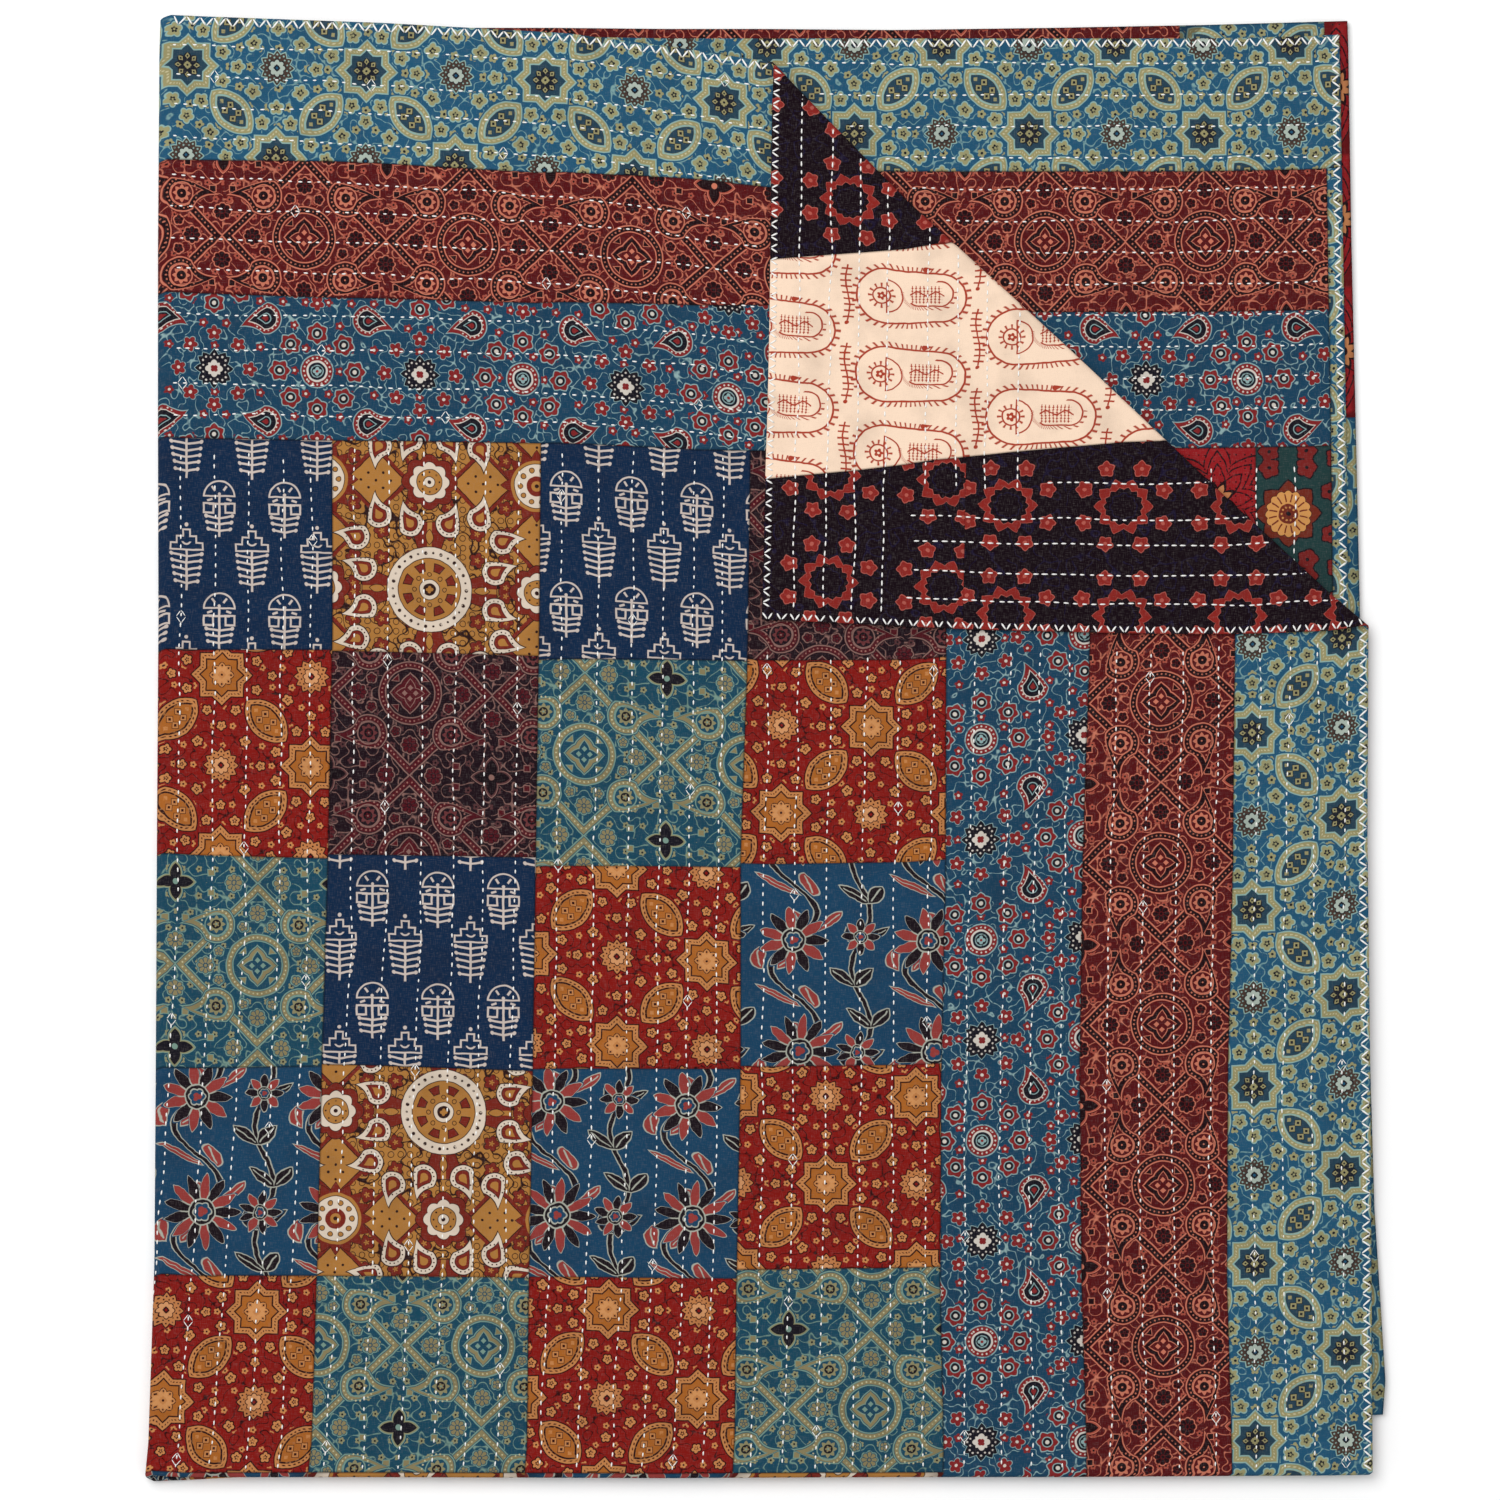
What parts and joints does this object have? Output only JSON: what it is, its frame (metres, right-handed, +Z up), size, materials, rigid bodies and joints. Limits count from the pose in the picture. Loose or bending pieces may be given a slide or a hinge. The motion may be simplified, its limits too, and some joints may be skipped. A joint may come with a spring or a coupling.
{
  "type": "patchwork quilt",
  "caption": "Hand-stitched patchwork quilt folded in quarters and lying flat, with the top layer's corner turned back to show the pieced reverse.",
  "frame": {"origin": "middle of the folded stack, on the surface that it lies on", "axes": "+Z up, +Y from the bottom fold to the sewn top edges, +X from the side fold to the sewn side edges"},
  "size_m": [1.175, 1.3882, 0.0217],
  "materials": {
    "patchwork_front": "matt block-printed cotton with running stitches",
    "pieced_reverse": "matt block-printed cotton in pieced strips"
  },
  "bodies": {
    "root": {"front_cloth": "patchwork_front", "back_cloth": "pieced_reverse"}
  },
  "joints": []
}
